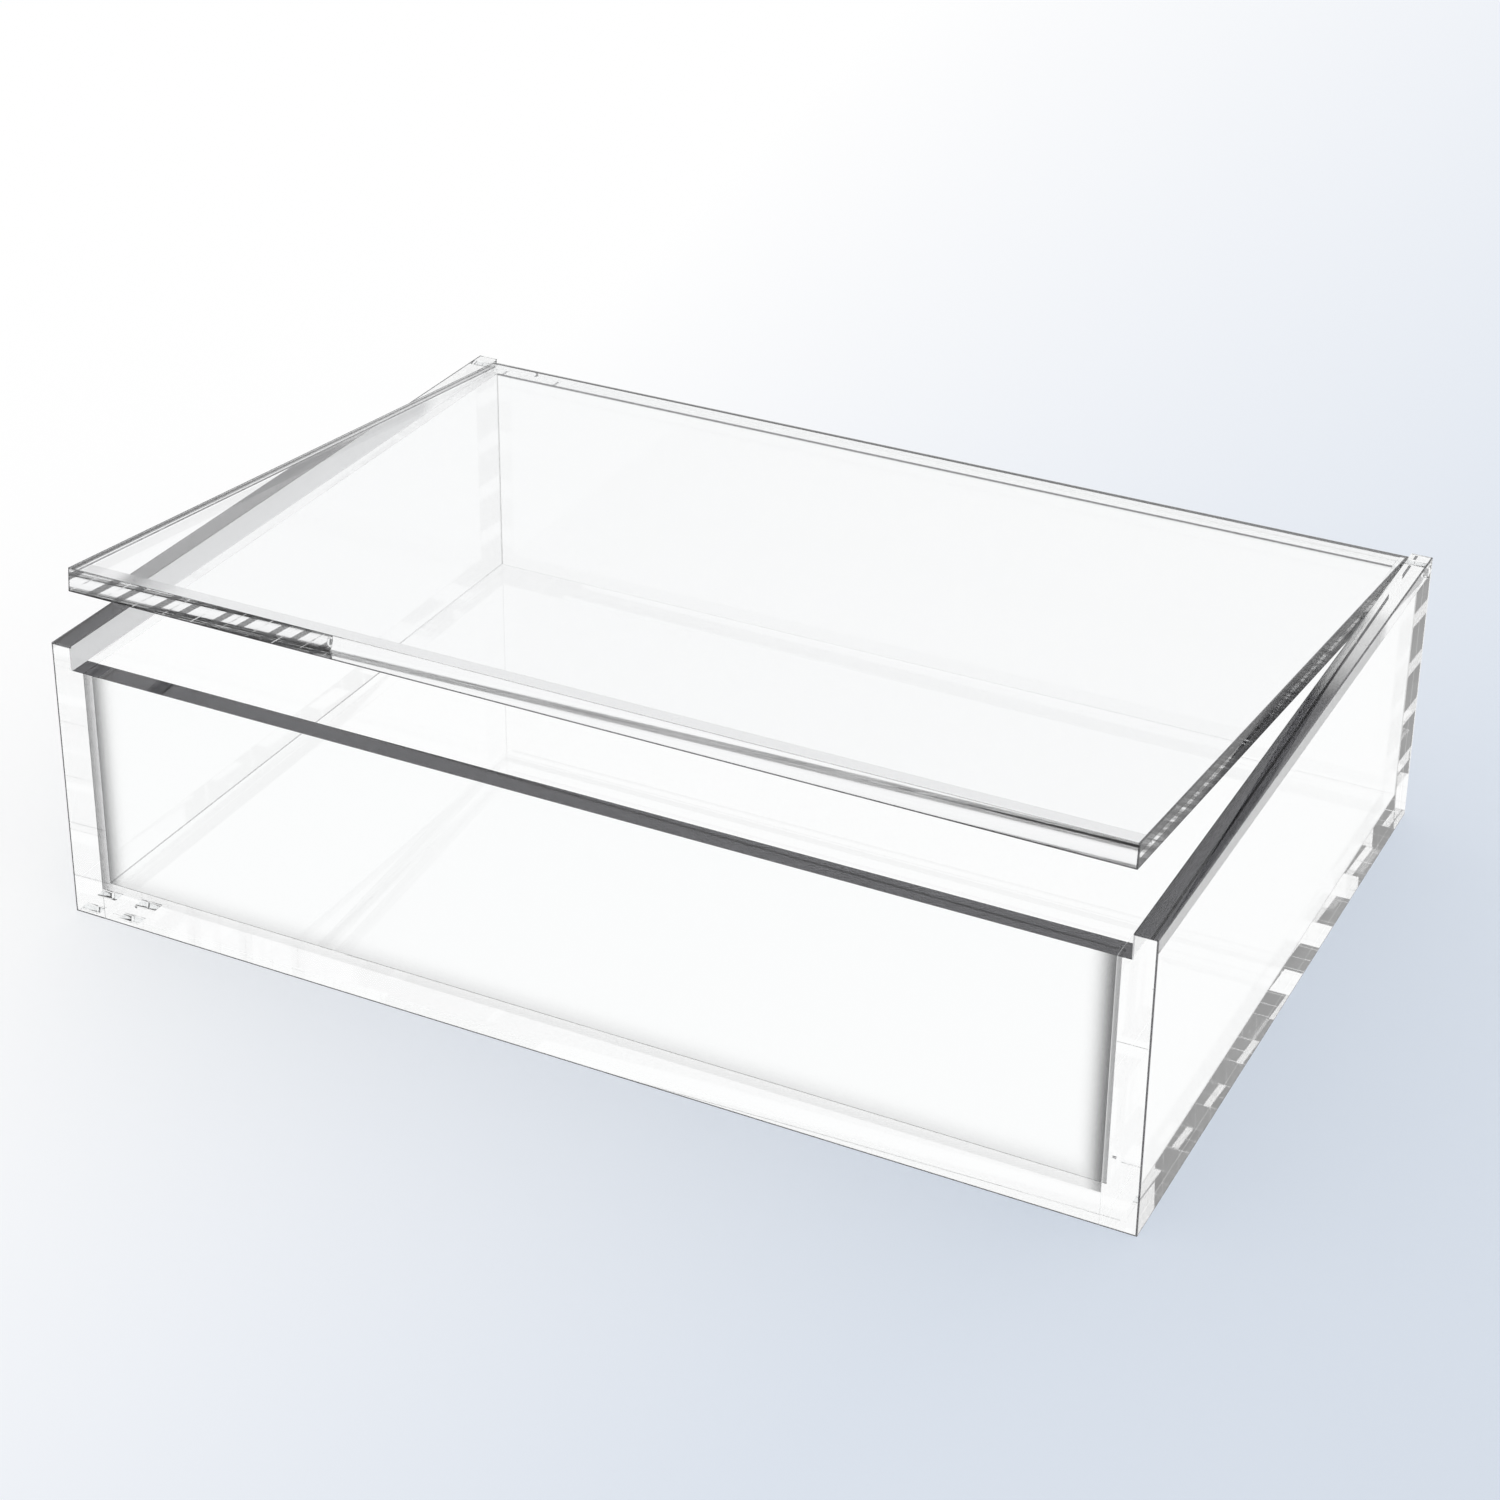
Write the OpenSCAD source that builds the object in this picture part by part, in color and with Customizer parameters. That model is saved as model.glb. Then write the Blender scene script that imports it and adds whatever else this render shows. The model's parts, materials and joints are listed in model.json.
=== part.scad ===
// Low storage box of clear acrylic sheet with a lid that turns on two rods.
// The origin is at the middle of the underside. +X is to the right, +Y is to the rear and +Z is up.

/* [Box] */
// Outside width of the box
box_w = 305; // [160:1:400]
// Outside depth of the box
box_d = 216; // [120:1:300]
// Outside height of the side panels
box_h = 82; // [40:1:140]
// Thickness of the two side panels
side_t = 9.5; // [8:0.5:14]
// Thickness of the front and back panels
wall_t = 6.4; // [4:0.2:10]
// Thickness of the floor panel
floor_t = 9.5; // [4:0.5:14]

/* [Lid] */
// Thickness of the lid panel
lid_t = 6.6; // [5:0.2:9]
// Width of the ledge that carries each side of the lid
ledge_w = 3.5; // [2:0.1:4.5]
// Gap between the lid and the side panel at each end
lid_side_gap = 0.4; // [0.3:0.05:1]
// Gap under the closed lid
lid_seat_gap = 0.3; // [0.3:0.05:0.8]
// Angle at which the lid stands open, measured from closed
lid_open = 6.1; // [0:0.1:60]

/* [Hinge rods] */
// Diameter of each hinge rod
pin_d = 3; // [2:0.1:3.4]
// Length of rod inside the lid
pin_in_lid = 8; // [5:0.5:15]
// Radial running clearance of a rod in its side panel
pin_running_gap = 0.08; // [0.03:0.01:0.1]
// Radial room for cement around a rod in the lid
pin_cement_gap = 0.02; // [0.02:0.01:0.05]
// Depth of a rod's outer end below the outside of its side panel
pin_recess = 0.3; // [0:0.1:1]

/* [Hidden] */
$fn = 64;

// Clear sheet and clear rod, and how far a cut runs past a face
sheet_color = [0.93, 0.95, 0.97, 0.45];
rod_color = [0.80, 0.84, 0.88, 0.7];
cut_past = 1;

// Inside faces of the box
inner_w = box_w - 2 * side_t;
inner_d = box_d - 2 * wall_t;
inner_right = inner_w / 2;
front_y = -box_d / 2;
rear_y = box_d / 2;

// Level of the ledges, which the front and back panels share
ledge_z = box_h - lid_t - lid_seat_gap;
upper_t = side_t - ledge_w;
rebate_right = box_w / 2 - upper_t;

// Axis on which the lid turns, at the centre of its rounded rear edge
hinge_y = rear_y - lid_t / 2;
hinge_z = box_h - lid_t / 2;
lid_w = 2 * (rebate_right - lid_side_gap);

// Rod from its recess in the side panel to its end inside the lid
pin_outer_x = box_w / 2 - pin_recess;
pin_inner_x = lid_w / 2 - pin_in_lid;

// A panel given by its lowest and highest corners
module sheet(low, high) {
    translate(low) cube(high - low);
}

// A round bar or hole along X on the hinge axis
module along_hinge(x_from, x_to, diameter) {
    translate([x_from, hinge_y, hinge_z])
        rotate([0, 90, 0]) cylinder(d = diameter, h = x_to - x_from);
}

// Turns the closed lid and its rods to the angle at which they stand
module at_rest() {
    translate([0, hinge_y, hinge_z])
        rotate([-lid_open, 0, 0])
            translate([0, -hinge_y, -hinge_z]) children();
}

module floor_panel() {
    color(sheet_color) sheet([-inner_right, -inner_d / 2, 0], [inner_right, inner_d / 2, floor_t]);
}

module front_panel() {
    color(sheet_color) sheet([-inner_right, front_y, 0], [inner_right, front_y + wall_t, ledge_z]);
}

module back_panel() {
    color(sheet_color) sheet([-inner_right, rear_y - wall_t, 0], [inner_right, rear_y, ledge_z]);
}

module right_side_panel() {
    color(sheet_color) difference() {
        sheet([inner_right, front_y, 0], [box_w / 2, rear_y, box_h]);
        // Rebate for the lid
        sheet([inner_right - cut_past, front_y - cut_past, ledge_z],
            [rebate_right, rear_y + cut_past, box_h + cut_past]);
        along_hinge(rebate_right - cut_past, box_w / 2 + cut_past, pin_d + 2 * pin_running_gap);
    }
}

module left_side_panel() {
    mirror([1, 0, 0]) right_side_panel();
}

module lid_panel() {
    color(sheet_color) at_rest() difference() {
        union() {
            sheet([-lid_w / 2, front_y, box_h - lid_t], [lid_w / 2, hinge_y, box_h]);
            along_hinge(-lid_w / 2, lid_w / 2, lid_t);
        }
        for (side = [0, 1]) mirror([side, 0, 0])
            along_hinge(pin_inner_x, lid_w / 2 + cut_past, pin_d + 2 * pin_cement_gap);
    }
}

module right_hinge_pin() {
    color(rod_color) at_rest() along_hinge(pin_inner_x, pin_outer_x, pin_d);
}

module left_hinge_pin() {
    mirror([1, 0, 0]) right_hinge_pin();
}

floor_panel();
front_panel();
back_panel();
left_side_panel();
right_side_panel();
lid_panel();
left_hinge_pin();
right_hinge_pin();
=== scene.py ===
"""Looks of a clear acrylic storage box whose lid turns on two clear rods at its rear edge."""
import json
from math import cos, radians, sin

import bmesh
import bpy
from mathutils import Matrix, Vector


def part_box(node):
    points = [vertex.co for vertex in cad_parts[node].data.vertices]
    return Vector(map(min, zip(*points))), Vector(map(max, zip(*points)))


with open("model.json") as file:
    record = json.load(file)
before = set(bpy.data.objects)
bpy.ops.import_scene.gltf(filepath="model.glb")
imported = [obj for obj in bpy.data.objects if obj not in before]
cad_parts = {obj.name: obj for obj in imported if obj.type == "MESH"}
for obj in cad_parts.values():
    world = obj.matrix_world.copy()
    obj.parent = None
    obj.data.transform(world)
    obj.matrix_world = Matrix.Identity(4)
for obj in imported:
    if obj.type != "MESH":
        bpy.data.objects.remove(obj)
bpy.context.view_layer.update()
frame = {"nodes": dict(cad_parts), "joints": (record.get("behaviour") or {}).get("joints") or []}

MM = 0.001
WHITE = (1, 1, 1, 1)

# Finish of the sheet: arrises of the cemented panels and of the free pieces, and the width of the painted
# shade lines along their outer edges
PANEL_ARRIS = 0.1 * MM
FREE_ARRIS = 0.22 * MM
OUTLINE = 0.4 * MM
ARRIS_STEPS = 2
SHARP_EDGE = radians(30)
FLAT_ANGLE = radians(0.5)
WELD = 0.001 * MM
ACRYLIC_IOR = 1.49
JOINT_REACH = 0.04 * MM

# Light from the lamps and soft light pass straight through a panel, a little dimmed
LAMP_PASS = (0.90, 0.91, 0.92, 1)

# Camera of the reference view, in a frame of 1500 by 1500
FRAME_SIDE = 1500
SENSOR = 36
FOCAL_PX = 3289.5
AXIS_ROW = 525
CAMERA_AT = Vector((0.3460, -0.7027, 0.4840))
CAMERA_AZIMUTH = radians(-26.473)
CAMERA_DOWN = radians(25.887)
CAMERA_ROLL = radians(0.551)

# Enough bounces for light that runs along inside the sheet
SHEET_BOUNCES = 40
GLOSS_BOUNCES = 32


class Wire:
    """A shader socket that adds Math nodes when it is used in an expression."""

    def __init__(self, tree, socket):
        self.tree = tree
        self.socket = socket

    def node(self, kind, settings=None, **values):
        """Any other node: its settings first, then its sockets by name, or by number after an underscore."""
        made = self.tree.nodes.new("ShaderNode" + kind)
        for name, value in (settings or {}).items():
            setattr(made, name, value)
        for name, value in values.items():
            key = int(name[1:]) if name[0] == "_" else name.replace("_", " ")
            if isinstance(value, Wire):
                self.tree.links.new(value.socket, made.inputs[key])
            else:
                made.inputs[key].default_value = value
        return made

    def out(self, made, name=0):
        return Wire(self.tree, made.outputs[name])

    def maths(self, operation, *values):
        pairs = {f"_{i}": value for i, value in enumerate(values)}
        return self.out(self.node("Math", {"operation": operation}, **pairs))

    def __add__(self, other):
        return self.maths("ADD", self, other)

    def __radd__(self, other):
        return self.maths("ADD", other, self)

    def __sub__(self, other):
        return self.maths("SUBTRACT", self, other)

    def __rsub__(self, other):
        return self.maths("SUBTRACT", other, self)

    def __mul__(self, other):
        return self.maths("MULTIPLY", self, other)

    def __rmul__(self, other):
        return self.maths("MULTIPLY", other, self)

    def __gt__(self, other):
        return self.maths("GREATER_THAN", self, other)

    def __lt__(self, other):
        return self.maths("LESS_THAN", self, other)

    def __abs__(self):
        return self.maths("ABSOLUTE", self)

    def most(self, other):
        return self.maths("MAXIMUM", self, other)

    def over(self, other):
        return self.maths("DIVIDE", self, other)

    def ramp(self, factor, stops):
        """A colour that follows a factor from stop to stop."""
        made = self.node("ValToRGB", Fac=factor)
        elements = made.color_ramp.elements
        elements[1].position = stops[-1][0]
        elements[1].color = stops[-1][1]
        elements[0].position = stops[0][0]
        elements[0].color = stops[0][1]
        for position, colour in stops[1:-1]:
            elements.new(position).color = colour
        return self.out(made)


def blank(owner):
    """Empties a node tree and gives a wire that has no socket yet."""
    owner.use_nodes = True
    owner.node_tree.nodes.clear()
    return Wire(owner.node_tree, None)


def place_of(tree, kind="Object"):
    return tree.out(tree.node("TexCoord"), kind)


def axes_of(tree, kind="Object"):
    """The three coordinates of a point, each as a wire."""
    split = tree.node("SeparateXYZ", Vector=place_of(tree, kind))
    return [tree.out(split, name) for name in "XYZ"]


def ray_kinds(tree, first, second):
    """1 on the rays of either kind."""
    path = tree.node("LightPath")
    return tree.out(path, first).most(tree.out(path, second))


def glass_rays(tree):
    """1 on the rays that the acrylic has bent or reflected."""
    return ray_kinds(tree, "Is Transmission Ray", "Is Glossy Ray")


def soft_step(value, start, stop, first, last):
    """Goes softly from the first level to the last as a value goes from start to stop."""
    made = value.node("MapRange", {"clamp": True, "interpolation_type": "SMOOTHSTEP"},
                      Value=value, From_Min=start, From_Max=stop, To_Min=first, To_Max=last)
    return value.out(made)


def blended(tree, factor, first, second):
    mixed = tree.node("Mix", {"data_type": "RGBA"}, Factor=factor, _6=first, _7=second)
    return tree.out(mixed, 2)


# Sizes that the frame gives
FLOOR_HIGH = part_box("floor_panel")[1]
FRONT_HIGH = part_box("front_panel")[1]
SIDE_LOW, SIDE_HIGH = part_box("right_side_panel")
PIN_LOW, PIN_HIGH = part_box("right_hinge_pin")
LID_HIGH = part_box("lid_panel")[1]
INNER_X = FLOOR_HIGH[0]
INNER_Y = FLOOR_HIGH[1]
FLOOR_TOP = FLOOR_HIGH[2]
LEDGE_Z = FRONT_HIGH[2]
HINGE = frame["joints"][0]["pos_m"]
OUT_X = SIDE_HIGH[0]
OUT_Y = SIDE_HIGH[1]
TOP_Z = SIDE_HIGH[2]
LID_X = LID_HIGH[0]
LID_HALF = TOP_Z - HINGE[2]
LID_FRONT = SIDE_LOW[1] - HINGE[1]
LID_OPEN = -radians(frame["joints"][0]["range_deg"][0])

# Tints of the clear sheet and rod, painted shade for the cut upper faces, the grey of the milled faces, and
# the dark colour of joint lines and painted shade lines
SHEET_TINT = (0.985, 0.99, 0.99, 1)
LID_TINT = (0.955, 0.96, 0.965, 1)
ROD_TINT = (0.97, 0.98, 0.985, 1)
CUT_FACE_SHADE = (0.006, 0.006, 0.007, 1)
MILL_TINT = (0.48, 0.485, 0.495, 1)
LINE_AND_SHADE_TINT = (0.02, 0.02, 0.022, 1)
MILL_HAZE = 0.3

# Faint smears that roughen the polish here and there
SMEAR_SCALE = 22.0
SMEAR_DETAIL = 5.0
SMEAR_ROUGHNESS = 0.6
SMEAR_FROM = 0.5
SMEAR_TO = 0.8
SMEAR_HAZE = 0.035

# How a cut upper face is told, and where a milled rebate lies beyond the lid's end
UNDER_CUT = 0.3 * MM
HALF_UPWARD = 0.6
BESIDE_LID = (0.1 * MM, 0.8 * MM)

# The painted shade on the side panels' upper cut faces grows lighter towards the rear
SHADE_EASE_FROM = 15 * MM
SHADE_EASE_TO = 60 * MM
SHADE_EASE_LEFT = 0.5

# Behind this line the side panels' upper cut faces lose their painted shade, and their rebates lose their
# milled grey
REAR_EASE_FROM = 62 * MM
REAR_EASE_TO = 74 * MM

# Strip along the lid's front edge where its top face has been buffed
RIM_WIDTH = 5 * MM
RIM_SHARE = 0.5

# Painted shade beside a cemented edge, and fine dark joint lines: how dark, and how far the shade reaches
# into the front panel
SEAM_AND_SHADE_DEPTH = 0.88
LINE_DEPTH = 0.45
SHADE_REACH = 9 * MM
SEAM_LINE = 0.3 * MM
FOOT_SHARE = 0.3

# Painted shade: dark bands along the lid's ends, a dark shader mixed over the clear sheet: how much they
# hide, their finish, and where they lie.
# Mid thickness is at 0 and the top face at 1. The right end is clear up to its level on both sides.
END_SHADE_SHARE = 0.8
END_SHADE = (0.02, 0.02, 0.022, 1)
END_SHADE_ROUGH = 0.25
LEFT_BAND = (-0.1, 0.45)
RIGHT_BAND = 0.2

# Painted shade: a dark strip on top of the lid along its left end, and the dark line where its rear edge
# turns round
EDGE_WIDTH = 2.3 * MM
EDGE_FRONT = 0.96
EDGE_REAR = 0.6
TURN_REACH = 1.2 * MM

# A point lies on an edge where more faces than this are near
ONE_FACE = 1.5


# Each mask takes the three coordinates of a point and gives how far it holds there, from 0 to 1


def near(value, level):
    """1 where a coordinate lies on a plane."""
    return abs(value - level) < JOINT_REACH


def floor_joints(x, y, z):
    return near(abs(x), INNER_X).most(near(abs(y), INNER_Y))


def wall_joints(x, y, z):
    ends = near(abs(x), INNER_X)
    foot = near(abs(y), INNER_Y) * (z < FLOOR_TOP)
    return ends.most(foot)


def side_joints(x, y, z):
    on_foot = (z < FLOOR_TOP).most(abs(y) > INNER_Y)
    return near(abs(x), INNER_X) * on_foot * (z < LEDGE_Z)


def rod_joints(x, y, z):
    """The cemented surfaces of a rod and of its hole in the lid."""
    off_y = y - HINGE[1]
    off_z = z - HINGE[2]
    reach = (PIN_HIGH[2] - PIN_LOW[2]) / 2 + JOINT_REACH
    in_hole = (off_y * off_y + off_z * off_z) < reach * reach
    along = abs(x) < LID_X - JOINT_REACH
    deep = abs(x) > PIN_LOW[0] - JOINT_REACH
    return in_hole * along * deep


def cut_face(tree):
    """1 on faces that look up or down."""
    facing = place_of(tree, "Normal")
    return abs(tree.out(tree.node("SeparateXYZ", Vector=facing), "Z")) > HALF_UPWARD


def before_rear_ease(y):
    return soft_step(y, REAR_EASE_FROM, REAR_EASE_TO, 1.0, 0.0)


def front_top_shade(x, y, z):
    """Painted shade on the upper cut face of the front panel."""
    return (z > LEDGE_Z - UNDER_CUT) * cut_face(z)


def side_top_shade(x, y, z):
    """Painted shade on the upper cut faces of the side panels, and on their ledges beside the front panel."""
    shade_level = soft_step(y, SHADE_EASE_FROM, SHADE_EASE_TO, 1.0, SHADE_EASE_LEFT) * before_rear_ease(y)
    high = ((z > TOP_Z - UNDER_CUT) * shade_level).most(y < -INNER_Y)
    return high * (z > LEDGE_Z - UNDER_CUT) * cut_face(z)


def rebate_faces(x, y, z):
    """The milled upright faces beside the lid's ends."""
    beside = (abs(x) > LID_X + BESIDE_LID[0]) * (abs(x) < LID_X + BESIDE_LID[1])
    return beside * (z > LEDGE_Z + JOINT_REACH) * before_rear_ease(y)


def box_shade_lines(x, y, z):
    """Painted shade: dark lines along the outer edges of the box, but for those at the rear."""
    sides = (abs(x) > OUT_X - OUTLINE) + (y < OUTLINE - OUT_Y)
    return sides + (z < OUTLINE).most(z > TOP_Z - OUTLINE) > ONE_FACE


def rear_shade_lines(x, y, z):
    """Painted shade: dark lines along the upper edges of the back panel."""
    faces = (y > OUT_Y - OUTLINE).most(y < INNER_Y + OUTLINE)
    return faces * (z > LEDGE_Z - OUTLINE)


def fade(distance):
    """Painted shade that fades with the distance from a cemented edge."""
    level = soft_step(distance, 0.0, SHADE_REACH, 1.0, 0.0)
    return level * level


def front_edge_shade(x, y, z):
    """Painted shade: the front panel turns grey towards the side panels and the floor."""
    ends = fade(INNER_X - abs(x))
    foot = fade(abs(z - FLOOR_TOP)) * FOOT_SHARE
    return ends.most(foot) * (z > FLOOR_TOP) * SEAM_AND_SHADE_DEPTH


def back_seams(x, y, z):
    """Fine dark lines on the back panel's inner face, along the side panels."""
    ends = (abs(x) > INNER_X - SEAM_LINE) * (y < INNER_Y + JOINT_REACH)
    return ends * (z > FLOOR_TOP) * SEAM_AND_SHADE_DEPTH


def side_seams(x, y, z):
    """Fine grey lines on the side panels' inner faces, along the floor and the front and back panels."""
    ends = (abs(y) > INNER_Y - SEAM_LINE).most(z < FLOOR_TOP + SEAM_LINE)
    return near(abs(x), INNER_X) * ends * LINE_DEPTH


def floor_seams(x, y, z):
    """Fine grey lines round the floor's upper face."""
    rim = (abs(x) > INNER_X - SEAM_LINE).most(abs(y) > INNER_Y - SEAM_LINE)
    return rim * (z > FLOOR_TOP - JOINT_REACH) * LINE_DEPTH


def lid_levels(y, z):
    """Distance along the lid from its axis, and height from its mid thickness, as it lies closed."""
    off_y = y - HINGE[1]
    off_z = z - HINGE[2]
    along = off_y * cos(LID_OPEN) - off_z * sin(LID_OPEN)
    up = off_y * sin(LID_OPEN) + off_z * cos(LID_OPEN)
    return along, up


def lid_shade_lines(x, y, z):
    """Painted shade: dark lines along the edges of the lid's ends, its lower front edge, and the line where
    its rear edge turns round.
    """
    along, up = lid_levels(y, z)
    at_end = abs(x) > LID_X - OUTLINE
    ends = at_end * (abs(up) > LID_HALF - OUTLINE)
    front = (along < LID_FRONT + OUTLINE) * at_end.most(up < OUTLINE - LID_HALF)
    turning = (abs(along) < TURN_REACH) * (up > 0)
    return ends.most(front).most(turning)


def lid_rim(x, y, z):
    """The buffed strip on top of the lid along its front edge."""
    along, up = lid_levels(y, z)
    return (along < LID_FRONT + RIM_WIDTH) * (up > LID_HALF - JOINT_REACH) * RIM_SHARE


def lid_edge_shade(x, y, z):
    """Painted shade: a dark strip on top of the lid along its left end, fading to the rear."""
    along, up = lid_levels(y, z)
    level = soft_step(along, LID_FRONT, 0.0, EDGE_FRONT, EDGE_REAR)
    return (x < EDGE_WIDTH - LID_X) * (up > LID_HALF - JOINT_REACH) * level


def lid_end_shade(x, y, z):
    """Painted shade: dark bands along the lid's two ends, one on the left, and on the right one on each side
    of mid thickness.
    """
    along, up = lid_levels(y, z)
    level = up.over(LID_HALF)
    left = (x < 0) * (level > LEFT_BAND[0]) * (level < LEFT_BAND[1])
    right = (x > 0) * (abs(level) > RIGHT_BAND)
    return near(abs(x), LID_X) * left.most(right)


def smeared_polish(tree):
    """Roughness that is nil but for faint smears."""
    smears = tree.node(
        "TexNoise",
        {"noise_dimensions": "3D"},
        Vector=place_of(tree),
        Scale=SMEAR_SCALE,
        Detail=SMEAR_DETAIL,
        Roughness=SMEAR_ROUGHNESS,
    )
    haze = tree.node(
        "MapRange",
        {"clamp": True},
        Value=tree.out(smears, "Fac"),
        From_Min=SMEAR_FROM,
        From_Max=SMEAR_TO,
        To_Min=0.0,
        To_Max=SMEAR_HAZE,
    )
    return tree.out(haze)


def clear_acrylic(name, joints, coats=(), milled=None, shaded_ends=None, tint=SHEET_TINT):
    """Polished clear acrylic. A cemented joint passes light straight on, as the same sheet would.

    Each coat is a mask and its tint, a dark joint line or painted shade, and a later coat lies over an
    earlier one.
    """
    material = bpy.data.materials.new(name)
    tree = blank(material)
    axes = axes_of(tree)
    colour = tint
    rough = smeared_polish(tree)
    if milled:
        on_mill = milled(*axes)
        colour = blended(tree, on_mill, colour, MILL_TINT)
        rough = rough + on_mill * MILL_HAZE
    for mask, coat_tint in coats:
        colour = blended(tree, mask(*axes), colour, coat_tint)
    body = tree.node(
        "BsdfPrincipled",
        Base_Color=colour,
        Roughness=rough,
        IOR=ACRYLIC_IOR,
        Transmission_Weight=1.0,
    )
    # On the lid, a dark shader mixed over the body paints shade on its ends
    if shaded_ends:
        dark = tree.node("BsdfPrincipled", Base_Color=END_SHADE, Roughness=END_SHADE_ROUGH, IOR=ACRYLIC_IOR)
        body = tree.node("MixShader", _0=shaded_ends(*axes) * END_SHADE_SHARE, _1=tree.out(body), _2=tree.out(dark))
    passing = tree.node("BsdfTransparent", Color=LAMP_PASS)
    joined = tree.node("BsdfTransparent", Color=WHITE)
    lamps = ray_kinds(tree, "Is Shadow Ray", "Is Diffuse Ray")
    solid = tree.node("MixShader", _0=lamps, _1=tree.out(body), _2=tree.out(passing))
    whole = tree.node("MixShader", _0=joints(*axes), _1=tree.out(solid), _2=tree.out(joined))
    tree.node("OutputMaterial", Surface=tree.out(whole))
    return material


def finish_sheet(node, material, arris_width=PANEL_ARRIS):
    """Polished arrises and the acrylic's material on a panel or a rod."""
    piece = frame["nodes"][node]
    weld = piece.modifiers.new("Weld", "WELD")
    weld.merge_threshold = WELD
    flat = piece.modifiers.new("Flat", "DECIMATE")
    flat.decimate_type = "DISSOLVE"
    flat.angle_limit = FLAT_ANGLE
    arris = piece.modifiers.new("Arris", "BEVEL")
    arris.width = arris_width
    arris.segments = ARRIS_STEPS
    arris.limit_method = "ANGLE"
    arris.angle_limit = SHARP_EDGE
    arris.use_clamp_overlap = True
    for slot in piece.material_slots:
        slot.material = material


def finish_box():
    """Floor, front, back and side panels, each with the marks of its own edges and cuts: dark joint lines,
    milled rebates and painted shade.
    """
    floor_sheet = clear_acrylic(
        "floor_sheet",
        floor_joints,
        coats=[(floor_seams, LINE_AND_SHADE_TINT)],
    )
    front_sheet = clear_acrylic(
        "front_sheet",
        wall_joints,
        coats=[(front_edge_shade, LINE_AND_SHADE_TINT), (front_top_shade, CUT_FACE_SHADE), (box_shade_lines, LINE_AND_SHADE_TINT)],
    )
    back_sheet = clear_acrylic(
        "back_sheet",
        wall_joints,
        coats=[(back_seams, LINE_AND_SHADE_TINT), (rear_shade_lines, LINE_AND_SHADE_TINT)],
    )
    side_sheet = clear_acrylic(
        "side_sheet",
        side_joints,
        coats=[(side_seams, LINE_AND_SHADE_TINT), (side_top_shade, CUT_FACE_SHADE), (box_shade_lines, LINE_AND_SHADE_TINT)],
        milled=rebate_faces,
    )
    finish_sheet("floor_panel", floor_sheet)
    finish_sheet("front_panel", front_sheet)
    finish_sheet("back_panel", back_sheet)
    finish_sheet("left_side_panel", side_sheet)
    finish_sheet("right_side_panel", side_sheet)


def finish_lid():
    """The lid and the two rods that are cemented into it."""
    # Painted shade on the lid: dark lines along its edges, a dark strip along its left end and dark bands on
    # its ends
    lid_sheet = clear_acrylic(
        "lid_sheet",
        rod_joints,
        coats=[(lid_edge_shade, LINE_AND_SHADE_TINT), (lid_shade_lines, LINE_AND_SHADE_TINT)],
        milled=lid_rim,
        shaded_ends=lid_end_shade,
        tint=LID_TINT,
    )
    rod_clear = clear_acrylic("rod_clear", rod_joints, tint=ROD_TINT)
    finish_sheet("lid_panel", lid_sheet, FREE_ARRIS)
    finish_sheet("left_hinge_pin", rod_clear, FREE_ARRIS)
    finish_sheet("right_hinge_pin", rod_clear, FREE_ARRIS)


# Painted light: the backdrop's tint turns from white to pale blue about a point on the floor in front of the
# box, as a sweep of light would fall
FLOOR_REACH = 30.0
FLOOR_DROP = 0.1 * MM
FAN_AT = (-0.022, -1.148)
FAN_NEAREST = 0.1
FAN_FROM = -0.147
FAN_TO = 0.275
FAN_STOPS = [
    (0.0, (1.0, 1.0, 1.0, 1)),
    (0.33, (0.871, 0.896, 0.939, 1)),
    (0.69, (0.731, 0.784, 0.863, 1)),
    (1.0, (0.680, 0.738, 0.823, 1)),
]

# The room in front of the box is dark above the floor, and only the acrylic shows it
ROOM_FROM = 0.0
ROOM_TO = -0.35
ROOM_LEVEL = 0.05


def floor_material():
    """Pale backdrop with a painted sweep of light, that looks plain white through the acrylic."""
    material = bpy.data.materials.new("pale_floor")
    tree = blank(material)
    x, y = axes_of(tree)[:2]
    turn = (x - FAN_AT[0]).over((y - FAN_AT[1]).most(FAN_NEAREST))
    blend = tree.node("MapRange", {"clamp": True}, Value=turn, From_Min=FAN_FROM, From_Max=FAN_TO)
    # The ramp paints the sweep of light, from white to a dimmer pale blue
    pale = tree.ramp(tree.out(blend), FAN_STOPS)
    seen = tree.node("BsdfDiffuse", Color=pale)
    through = tree.node("Emission", Color=WHITE, Strength=1.0)
    whole = tree.node("MixShader", _0=glass_rays(tree), _1=tree.out(seen), _2=tree.out(through))
    tree.node("OutputMaterial", Surface=tree.out(whole))
    return material


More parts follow.
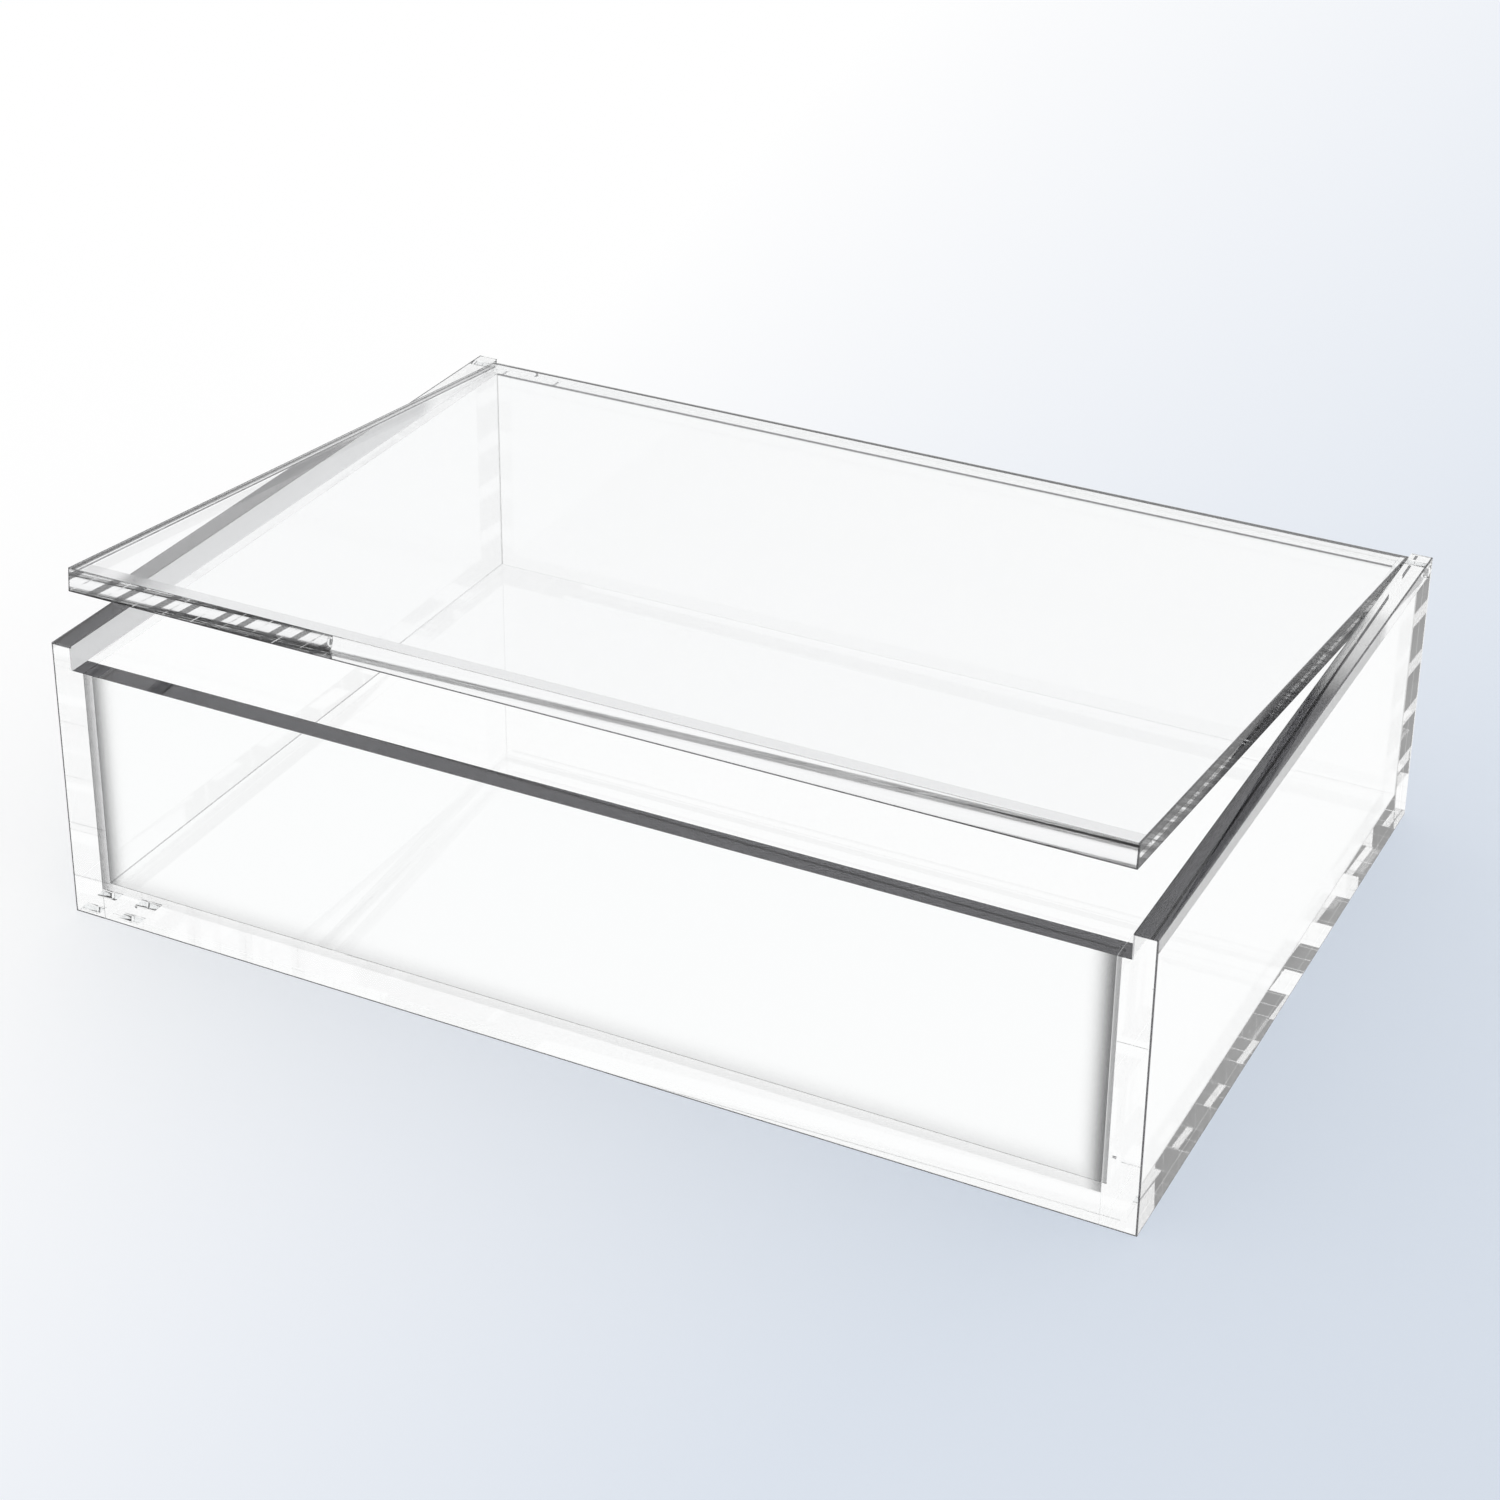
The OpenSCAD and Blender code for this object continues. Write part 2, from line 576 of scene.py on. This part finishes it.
def pale_floor():
    mesh = bpy.data.meshes.new("floor")
    shape = bmesh.new()
    bmesh.ops.create_grid(shape, x_segments=1, y_segments=1, size=FLOOR_REACH)
    bmesh.ops.translate(shape, verts=shape.verts, vec=(0, 0, -FLOOR_DROP))
    shape.to_mesh(mesh)
    shape.free()
    floor = bpy.data.objects.new("floor", mesh)
    mesh.materials.append(floor_material())
    bpy.context.collection.objects.link(floor)


def studio_world():
    """Even soft light, with a dark room in front that only the acrylic shows."""
    world = bpy.data.worlds.new("studio")
    bpy.context.scene.world = world
    tree = blank(world)
    y = axes_of(tree, "Generated")[1]
    level = 1 - glass_rays(tree) * (1 - soft_step(y, ROOM_FROM, ROOM_TO, 1.0, ROOM_LEVEL))
    light = tree.node("Background", Color=WHITE, Strength=level)
    tree.node("OutputWorld", Surface=tree.out(light))


def reference_camera():
    ahead = Vector((
        sin(CAMERA_AZIMUTH) * cos(CAMERA_DOWN),
        cos(CAMERA_AZIMUTH) * cos(CAMERA_DOWN),
        -sin(CAMERA_DOWN),
    ))
    level = Vector((cos(CAMERA_AZIMUTH), -sin(CAMERA_AZIMUTH), 0))
    upright = level.cross(ahead)
    right = level * cos(CAMERA_ROLL) + upright * sin(CAMERA_ROLL)
    up = upright * cos(CAMERA_ROLL) - level * sin(CAMERA_ROLL)
    lens = bpy.data.cameras.new("reference")
    lens.sensor_width = SENSOR
    lens.lens = FOCAL_PX / FRAME_SIDE * SENSOR
    lens.shift_y = (AXIS_ROW - FRAME_SIDE / 2) / FRAME_SIDE
    camera = bpy.data.objects.new("reference", lens)
    turn = Matrix((right, up, -ahead)).transposed().to_4x4()
    camera.matrix_world = Matrix.Translation(CAMERA_AT) @ turn
    bpy.context.collection.objects.link(camera)
    bpy.context.scene.camera = camera


finish_box()
finish_lid()
pale_floor()
studio_world()
reference_camera()

scene = bpy.context.scene
scene.view_settings.view_transform = "Standard"
scene.cycles.max_bounces = SHEET_BOUNCES
scene.cycles.glossy_bounces = GLOSS_BOUNCES
scene.cycles.transmission_bounces = SHEET_BOUNCES
scene.cycles.transparent_max_bounces = SHEET_BOUNCES
